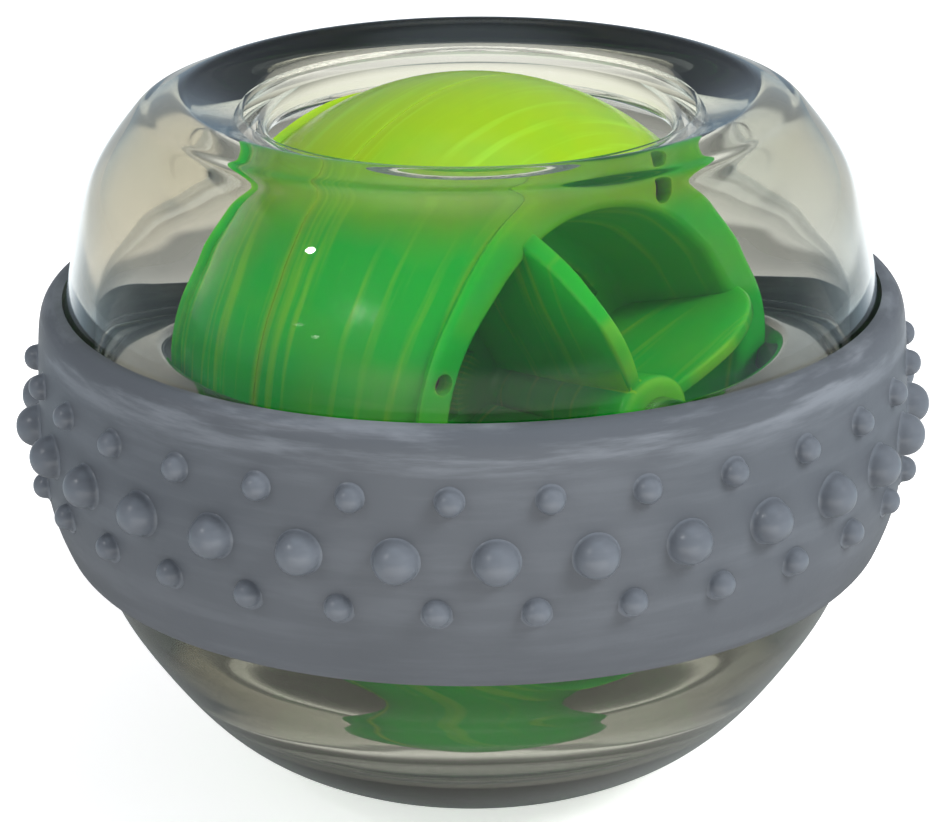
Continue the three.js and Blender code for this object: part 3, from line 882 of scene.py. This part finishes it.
def ring_of(name, group, rings, material, place=None):
    """Makes one plain mesh from rings of copies, each with its own seed and sizes."""
    holder = bpy.data.objects.new(name, bpy.data.meshes.new(name))
    bpy.context.scene.collection.objects.link(holder)
    keys = {
        item.name: item.identifier for item in group.interface.items_tree if item.in_out == "INPUT"
    }
    gathered = bmesh.new()
    for ring in rings:
        step = holder.modifiers.new("Copies", "NODES")
        step.node_group = group
        for label, value in ring.items():
            step[keys[label]] = value
        step[keys["Material"]] = material
        graph = bpy.context.evaluated_depsgraph_get()
        part = bpy.data.meshes.new_from_object(holder.evaluated_get(graph))
        gathered.from_mesh(part)
        holder.modifiers.clear()
        bpy.data.meshes.remove(part)
    if place is not None:
        gathered.transform(place)
    gathered.to_mesh(holder.data)
    gathered.free()
    holder.data.shade_smooth()
    holder.data.set_sharp_from_angle(angle=SHARP_ANGLE)
    return holder


ring_nodes = ring_group()
big_nub = nub_seed("big_nub", BIG_NUB_RADIUS, BIG_NUB_RISE, BIG_NUB_FLARE)
small_nub = nub_seed("small_nub", SMALL_NUB_RADIUS, SMALL_NUB_RISE, SMALL_NUB_FLARE)


def nub_ring(seed, height, start):
    return {
        "Seed": seed,
        "Count": NUB_COUNT,
        "Reach": band_radius_at(height) * MM,
        "Height": height * MM,
        "Start": math.radians(start - 90),
        "Lean": QUARTER_TURN,
    }


nubs = ring_of(
    "grip_nubs",
    ring_nodes,
    [
        nub_ring(big_nub, BIG_ROW_HEIGHT, BIG_ROW_TURN),
        nub_ring(small_nub, TOP_ROW_HEIGHT, TOP_ROW_TURN),
        nub_ring(small_nub, LOW_ROW_HEIGHT, LOW_ROW_TURN),
    ],
    lit_nub_rubber,
)
finish_piece(grip(), rubber, "casing", "grip_rubber", "grip_band")
finish_piece(nubs, lit_nub_rubber, "casing", "grip_rubber", "grip_band")
for seed in (big_nub, small_nub):
    bpy.data.objects.remove(seed)


# The rotor.

green = green_plastic()
zinc = metal("flywheel_zinc", (0.72, 0.72, 0.7), roughness=0.3, grain_waves=300)
steel = metal("steel", (0.7, 0.7, 0.72), roughness=0.25, grain_waves=500)
dark_steel = metal("dark_steel", (0.1, 0.1, 0.09), roughness=0.6, grain_waves=500)


def ball_arc(radius, low, high, steps):
    first, last = math.asin(low / radius), math.asin(high / radius)
    turns = [mix(first, last, i / steps) for i in range(steps + 1)]
    return [(radius * math.cos(t), radius * math.sin(t)) for t in turns]


def fin_outline():
    hub, hub_top = HUB_RADIUS - FIN_SINK, HUB_TOP - FIN_SINK
    rim, rim_top = RECESS_RADIUS + COVER_WALL / 2, RIM_HEIGHT - FIN_SINK
    root = FLOOR_HEIGHT - COVER_WALL / 2
    middle = Vector((hub + rim, hub_top + rim_top)) / 2
    pull = middle.normalized() * (middle.length + 2 * FIN_BULGE)
    points = [(hub, root), (FLOOR_RADIUS, root), (rim, rim_top)]
    for i in range(1, FIN_STEPS + 1):
        t = i / FIN_STEPS
        a = Vector((rim, rim_top)) * (1 - t) ** 2
        b = pull * 2 * t * (1 - t)
        c = Vector((hub, hub_top)) * t**2
        points.append(tuple(a + b + c))
    return points


def window_outline():
    shares = [i / WINDOW_STEPS for i in range(WINDOW_STEPS + 1)]
    turns = [mix(-WINDOW_HALF_ANGLE, WINDOW_HALF_ANGLE, share) for share in shares]
    outer = [(WINDOW_OUTER_RADIUS * math.cos(t), WINDOW_OUTER_RADIUS * math.sin(t)) for t in turns]
    inner = [(WINDOW_INNER_RADIUS * math.cos(t), WINDOW_INNER_RADIUS * math.sin(t)) for t in turns]
    return outer + inner[::-1]


def prism(outline, low, high):
    build = bmesh.new()
    bottom = [build.verts.new((x * MM, y * MM, low * MM)) for x, y in outline]
    face = build.faces.new(bottom)
    pushed = bmesh.ops.extrude_face_region(build, geom=[face])
    moved = [v for v in pushed["geom"] if isinstance(v, bmesh.types.BMVert)]
    bmesh.ops.translate(build, verts=moved, vec=(0, 0, (high - low) * MM))
    return build


def circle(radius, steps, at):
    turns = [FULL_TURN * i / steps for i in range(steps)]
    return [(at[0] + radius * math.cos(t), at[1] + radius * math.sin(t)) for t in turns]


def spun(turn):
    return Matrix.Rotation(turn, 4, "Z")


def rotor_cover(name, place):
    skin = ball_arc(ROTOR_RADIUS - SKIN_SINK, SEAM, RIM_HEIGHT - RIM_ROUND, COVER_STEPS)
    inside = ball_arc(ROTOR_RADIUS - COVER_WALL, SEAM, RIM_HEIGHT - COVER_WALL, COVER_INNER_STEPS)
    corners = (
        plain(skin)
        + [
            (RIM_RADIUS - RIM_TRIM, RIM_HEIGHT, RIM_FILLET),
            (RECESS_RADIUS, RIM_HEIGHT, RECESS_FILLET),
            (FLOOR_RADIUS, FLOOR_HEIGHT, FLOOR_FILLET),
            (HUB_RADIUS, FLOOR_HEIGHT, HUB_FOOT_FILLET),
            (HUB_RADIUS, HUB_TOP, HUB_FILLET),
            (BORE_RADIUS, HUB_TOP, BORE_FILLET),
            (BORE_RADIUS, FLOOR_UNDERSIDE, 0),
            (FLOOR_RADIUS + COVER_WALL / 2, FLOOR_UNDERSIDE, BACK_FILLET),
        ]
        + plain(inside[::-1])
    )
    cover = finish_mesh(lathe(rounded(corners), ROTOR_STEPS), name)
    fins, cutters = [], []
    for i in range(FIN_COUNT):
        turn = FIN_AZIMUTH + FULL_TURN * i / FIN_COUNT
        fins.append(finish_mesh(slab(fin_outline(), FIN_THICKNESS, FIN_SOFTENING), "fin", spun(turn)))
        between = turn + FULL_TURN / FIN_COUNT / 2
        window = prism(window_outline(), FLOOR_UNDERSIDE - CUT_OVERRUN, FLOOR_HEIGHT + CUT_OVERRUN)
        cutters.append(finish_mesh(window, "window", spun(between)))
    for i in range(PIN_COUNT):
        turn = PIN_AZIMUTH + FULL_TURN * i / PIN_COUNT
        outline = circle(PIN_RADIUS + PIN_CLEARANCE, HOLE_STEPS, (PIN_CIRCLE_RADIUS, 0))
        hole = prism(outline, PIN_HOLE_FLOOR, RIM_HEIGHT + CUT_OVERRUN)
        cutters.append(finish_mesh(hole, "pin_hole", spun(turn)))
    combine(cover, fins, "UNION")
    combine(cover, cutters, "DIFFERENCE")
    cover.data.transform(place)
    return cover


finish_piece(rotor_cover("rotor_front", ROTOR_PLACE), green, "rotor", "green_plastic", "rotor_cover_front")
finish_piece(rotor_cover("rotor_back", BACK_PLACE), green, "rotor", "green_plastic", "rotor_cover_back")


def both_halves(half):
    """A closed profile from its upper half, which starts on the middle plane."""
    return [(x, -y, f) for x, y, f in half[:0:-1]] + half


def flywheel_profile():
    slope = RECESS_TAPER / (RIM_HEIGHT - FLOOR_HEIGHT)
    top = FLYWHEEL_INNER_RADIUS + slope * (FLYWHEEL_HALF_WIDTH - FLOOR_HEIGHT)
    half = plain(ball_arc(FLYWHEEL_RADIUS, 0, FLYWHEEL_HALF_WIDTH, FLYWHEEL_STEPS))
    half += [
        (top, FLYWHEEL_HALF_WIDTH, FLYWHEEL_EDGE_FILLET),
        (FLYWHEEL_INNER_RADIUS, FLYWHEEL_WEB, FLYWHEEL_FOOT_FILLET),
        (BORE_RADIUS, FLYWHEEL_WEB, 0),
    ]
    return rounded(both_halves(half))


wheel = finish_mesh(lathe(flywheel_profile(), ROTOR_STEPS), "flywheel_body", ROTOR_PLACE)
finish_piece(wheel, zinc, "rotor", "flywheel_zinc", "flywheel")


def axle_profile():
    shoulder = AXLE_HALF_LENGTH - TIP_LENGTH
    half = [
        (AXLE_RADIUS, 0, 0),
        (AXLE_RADIUS, shoulder, AXLE_FILLET),
        (TIP_RADIUS, shoulder, AXLE_FILLET),
        (TIP_RADIUS, AXLE_HALF_LENGTH, TIP_FILLET),
        (0, AXLE_HALF_LENGTH, 0),
    ]
    return rounded(both_halves(half))


shaft = finish_mesh(lathe(axle_profile(), SMALL_STEPS), "axle_body", ROTOR_PLACE)
finish_piece(shaft, steel, "rotor", "steel", "axle")


def pin_seed():
    end = RIM_HEIGHT - PIN_SINK
    half = [(PIN_RADIUS, 0, 0), (PIN_RADIUS, end, PIN_FILLET), (0, end, 0)]
    return finish_mesh(lathe(rounded(both_halves(half)), PIN_STEPS), "pin_seed")


one_pin = pin_seed()
pins = ring_of(
    "rotor_pins",
    ring_nodes,
    [
        {
            "Seed": one_pin,
            "Count": PIN_COUNT,
            "Reach": PIN_CIRCLE_RADIUS * MM,
            "Height": 0.0,
            "Start": PIN_AZIMUTH,
            "Lean": 0.0,
        }
    ],
    dark_steel,
    ROTOR_PLACE,
)
bpy.data.objects.remove(one_pin)
finish_piece(
    pins, dark_steel, "rotor", "steel", "rotor_pin_1", "rotor_pin_2", "rotor_pin_3", "rotor_pin_4"
)


# The ring that carries the axle's tips.


def race_ring():
    half = RING_THICKNESS / 2
    corners = [
        (RING_INNER_RADIUS, -half, RING_FILLET),
        (RING_OUTER_RADIUS, -half, RING_FILLET),
        (RING_OUTER_RADIUS, half, RING_FILLET),
        (RING_INNER_RADIUS, half, RING_FILLET),
    ]
    made = finish_mesh(lathe(rounded(corners), SHELL_STEPS), "race_ring")
    reach, width = RING_OUTER_RADIUS - NOTCH_DEPTH, TIP_RADIUS + NOTCH_CLEARANCE
    outline = [(-reach, -width), (reach, -width), (reach, width), (-reach, width)]
    notch = prism(outline, -NOTCH_HALF_HEIGHT, NOTCH_HALF_HEIGHT)
    combine(made, [finish_mesh(notch, "notch")], "DIFFERENCE")
    made.data.transform(RING_PLACE)
    return made


finish_piece(race_ring(), smoky_plastic(), "ring", "ring_plastic", "retaining_ring")


# The stage: a pale floor, soft light and the camera. The clear plastic bends and mirrors the studio
# round the object, which has dark sides and a pale screen behind, so those rays meet other colours
# than the camera does. Distances on the floor are in metres.

STAGE_RADIUS = 3
STAGE_STEPS = 64
FLOOR_DROP = 0.05
PALE_FLOOR = colour(0.92, 0.92, 0.92)
WHITE = colour(1, 1, 1)
DARK_SIDES = colour(0.25, 0.31, 0.35)
# A painted shadow under the object, which the camera itself doesn't see.
SHADOW_UNDER_OBJECT = colour(0.18, 0.18, 0.17)
BESIDE_OBJECT = colour(0.85, 0.85, 0.82)
FAR_FLOOR = colour(0.42, 0.42, 0.4)
NEAR_FROM, NEAR_TO = 0.04, 0.12
FAR_FROM, FAR_TO = 0.2, 0.4
FLOOR_SIDE_FROM, FLOOR_SIDE_TO = 0.5, 0.8
FLOOR_GLOW = 0.6
INNER_GLOW = 1.4

# The sky's colours, by the height or the side of the way that a ray goes.
MIRRORED_LOW = colour(0.3, 0.37, 0.42)
MIRRORED_HIGH = colour(0.27, 0.31, 0.36)
MIRRORED_LAMP = colour(0.8, 0.95, 1.1)
MIRRORED_FROM, MIRRORED_TO = -0.05, 0.25
OVERHEAD_FROM, OVERHEAD_TO = 0.82, 0.95
WARM_SCREEN = colour(1.05, 0.98, 0.86)
COOL_SCREEN = colour(1.05, 1.08, 1.08)
SCREEN_HALF_WIDTH = 0.5
SCREEN_FOOT = colour(0.45, 0.45, 0.43)
SCREEN_FOOT_FROM, SCREEN_FOOT_TO = 0.04, 0.12
SCREEN_SIDE_FROM, SCREEN_SIDE_TO = 0.45, 0.75
ABOVE_SCREEN = colour(0.22, 0.25, 0.28)
SCREEN_TOP_FROM, SCREEN_TOP_TO = 0.42, 0.55
SOFT_SKY = colour(0.5, 0.5, 0.52)

# Area lamps: place and size in metres, power in watts.
LAMPS = [
    ("key", (0.4, -0.25, 0.45), 0.3, 4.5, False),
    ("fill", (-0.5, -0.3, 0.3), 0.4, 0.8, False),
    ("glint", (-0.4, -0.28, 0.45), 0.025, 0.35, True),
]
LAMP_AIM = Vector((0, 0, 0.03))

CAMERA_PLACE = (0, -0.28661, 0.13523)
CAMERA_DOWN = math.radians(19.79)
CAMERA_ROLL = -0.0105
CAMERA_LENS = 137
CAMERA_SENSOR = 36
CAMERA_SHIFT = (-0.0004, -0.01315)
CAMERA_NEAREST = 0.01


def has_fallen(tree, rays):
    """One for rays that carry light on from a matt surface."""
    return maths(tree, "GREATER_THAN", rays["Diffuse Depth"], 0.5)


def plain_light(tree):
    """One for what the camera sees itself and for light that falls on things, else zero."""
    rays = add(tree, "ShaderNodeLightPath").outputs
    return maths(tree, "MAXIMUM", rays["Is Camera Ray"], has_fallen(tree, rays))


def inner_light(tree):
    """One for light that falls on what stands inside the clear plastic."""
    rays = add(tree, "ShaderNodeLightPath").outputs
    inside = maths(tree, "GREATER_THAN", rays["Transmission Depth"], 0.5)
    return maths(tree, "MULTIPLY", has_fallen(tree, rays), inside)


def floor_colour(tree, place):
    away = add(tree, "ShaderNodeVectorMath", operation="LENGTH")
    feed(tree, away.inputs[0], place)
    distance = away.outputs["Value"]
    spot = add(tree, "ShaderNodeSeparateXYZ")
    feed(tree, spot.inputs[0], place)
    aside = maths(tree, "DIVIDE", maths(tree, "ABSOLUTE", spot.outputs[0]), distance)
    # Painted shadow: the floor near the object is dark in what the plastic mirrors and bends.
    near = ramp(tree, distance, NEAR_FROM, NEAR_TO)
    shade = blend_colours(tree, near, SHADOW_UNDER_OBJECT, BESIDE_OBJECT)
    shade = blend_colours(tree, ramp(tree, distance, FAR_FROM, FAR_TO), shade, FAR_FLOOR)
    side = maths(tree, "MULTIPLY", near, ramp(tree, aside, FLOOR_SIDE_FROM, FLOOR_SIDE_TO))
    shade = blend_colours(tree, side, shade, DARK_SIDES)
    return blend_colours(tree, plain_light(tree), shade, PALE_FLOOR)


def stage_floor():
    build = bmesh.new()
    bmesh.ops.create_circle(build, cap_ends=True, segments=STAGE_STEPS, radius=STAGE_RADIUS)
    floor = finish_mesh(build, "floor", Matrix.Translation((0, 0, -FLOOR_DROP * MM)))
    made, tree, shader, place = new_material("pale_floor")
    pale = floor_colour(tree, place)
    glow = maths(tree, "ADD", FLOOR_GLOW, maths(tree, "MULTIPLY", inner_light(tree), INNER_GLOW))
    feed(tree, shader.inputs["Base Color"], pale)
    shader.inputs["Roughness"].default_value = 0.9
    shader.inputs["Specular IOR Level"].default_value = 0
    feed(tree, shader.inputs["Emission Color"], pale)
    feed(tree, shader.inputs["Emission Strength"], glow)
    floor.data.materials.append(made)


def soft_light(name, place, size, power, seen):
    lamp = bpy.data.lights.new(name, "AREA")
    lamp.shape = "DISK"
    lamp.size = size
    lamp.energy = power
    made = bpy.data.objects.new(name, lamp)
    made.location = place
    aim = LAMP_AIM - Vector(place)
    made.rotation_euler = aim.to_track_quat("-Z", "Y").to_euler()
    made.visible_glossy = seen
    made.visible_transmission = seen
    bpy.context.scene.collection.objects.link(made)


def mirrored_sky(tree, height):
    low = ramp(tree, height, MIRRORED_FROM, MIRRORED_TO)
    shade = blend_colours(tree, low, MIRRORED_LOW, MIRRORED_HIGH)
    return blend_colours(tree, ramp(tree, height, OVERHEAD_FROM, OVERHEAD_TO), shade, MIRRORED_LAMP)


def screen_sky(tree, side, height):
    """What the clear plastic bends into view: a lit screen with a dark foot, dark sides and a dark top."""
    across = ramp(tree, side, -SCREEN_HALF_WIDTH, SCREEN_HALF_WIDTH)
    shade = blend_colours(tree, across, WARM_SCREEN, COOL_SCREEN)
    foot = ramp(tree, height, SCREEN_FOOT_FROM, SCREEN_FOOT_TO)
    shade = blend_colours(tree, foot, SCREEN_FOOT, shade)
    aside = ramp(tree, maths(tree, "ABSOLUTE", side), SCREEN_SIDE_FROM, SCREEN_SIDE_TO)
    shade = blend_colours(tree, aside, shade, DARK_SIDES)
    return blend_colours(tree, ramp(tree, height, SCREEN_TOP_FROM, SCREEN_TOP_TO), shade, ABOVE_SCREEN)


def surroundings():
    world = bpy.data.worlds.new("studio")
    bpy.context.scene.world = world
    world.use_nodes = True
    tree = world.node_tree
    sky = tree.nodes["Background"]
    rays = add(tree, "ShaderNodeLightPath").outputs
    split = add(tree, "ShaderNodeSeparateXYZ")
    feed(tree, split.inputs[0], add(tree, "ShaderNodeTexCoord").outputs["Generated"])
    side, _, height = split.outputs
    shade = blend_colours(
        tree, rays["Is Transmission Ray"], mirrored_sky(tree, height), screen_sky(tree, side, height)
    )
    shade = blend_colours(tree, has_fallen(tree, rays), shade, SOFT_SKY)
    shade = blend_colours(tree, rays["Is Diffuse Ray"], shade, SOFT_SKY)
    feed(tree, sky.inputs["Color"], blend_colours(tree, rays["Is Camera Ray"], shade, WHITE))
    sky.inputs["Strength"].default_value = 1


def camera():
    lens = bpy.data.cameras.new("camera")
    lens.lens = CAMERA_LENS
    lens.sensor_width = CAMERA_SENSOR
    lens.shift_x, lens.shift_y = CAMERA_SHIFT
    lens.clip_start = CAMERA_NEAREST
    made = bpy.data.objects.new("camera", lens)
    made.location = CAMERA_PLACE
    tilt = Matrix.Rotation(QUARTER_TURN - CAMERA_DOWN, 3, "X") @ Matrix.Rotation(CAMERA_ROLL, 3, "Z")
    made.rotation_euler = tilt.to_euler()
    bpy.context.scene.collection.objects.link(made)
    bpy.context.scene.camera = made


stage_floor()
for lamp in LAMPS:
    soft_light(*lamp)
surroundings()
camera()

scene = bpy.context.scene
scene.view_settings.view_transform = "Standard"
scene.cycles.max_bounces = 32
scene.cycles.transmission_bounces = 24
scene.cycles.transparent_max_bounces = 16
scene.cycles.diffuse_bounces = 4
scene.cycles.glossy_bounces = 8
scene.cycles.sample_clamp_indirect = 6
